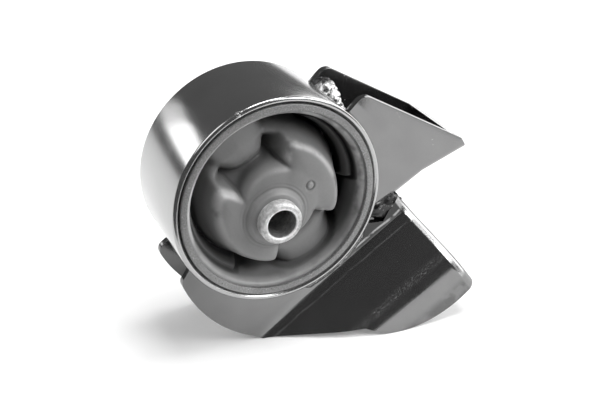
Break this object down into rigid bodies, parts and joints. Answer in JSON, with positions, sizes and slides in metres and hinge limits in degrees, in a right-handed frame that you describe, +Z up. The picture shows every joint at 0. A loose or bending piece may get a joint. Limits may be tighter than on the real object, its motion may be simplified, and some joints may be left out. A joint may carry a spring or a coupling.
{
  "type": "engine mount",
  "caption": "Rubber bush in a round steel shell, carried by folded channel brackets with a joggled front plate and bolted to an engine.",
  "frame": {"origin": "middle of the inner tube's bore, halfway along it", "axes": "+Y along the bore towards the back, +Z up with the brackets' feet below, +X from the bush towards the brackets' webs"},
  "size_m": [0.1349, 0.069, 0.1104],
  "materials": {
    "shell_paint": "satin-gloss black paint over pressed steel",
    "bracket_paint": "satin-gloss black paint over folded sheet steel, bright along cut edges",
    "weld_paint": "rippled weld bead under thin black paint, with spatter",
    "sleeve_steel": "dull phosphated steel with a grainy cut end",
    "tube_steel": "machined steel, rough at the ends",
    "rubber": "moulded black rubber, matt, with a soft bloom"
  },
  "bodies": {
    "root": {"outer_shell": "shell_paint", "bush_sleeve": "sleeve_steel", "inner_tube": "tube_steel", "rubber_bush": "rubber", "upper_bracket": "bracket_paint", "lower_bracket": "bracket_paint", "weld_upper_front": "weld_paint", "weld_upper_rear": "weld_paint", "weld_lower_front": "weld_paint", "weld_lower_rear": "weld_paint", "weld_lower_face": "weld_paint", "weld_apex": "weld_paint"}
  },
  "joints": []
}
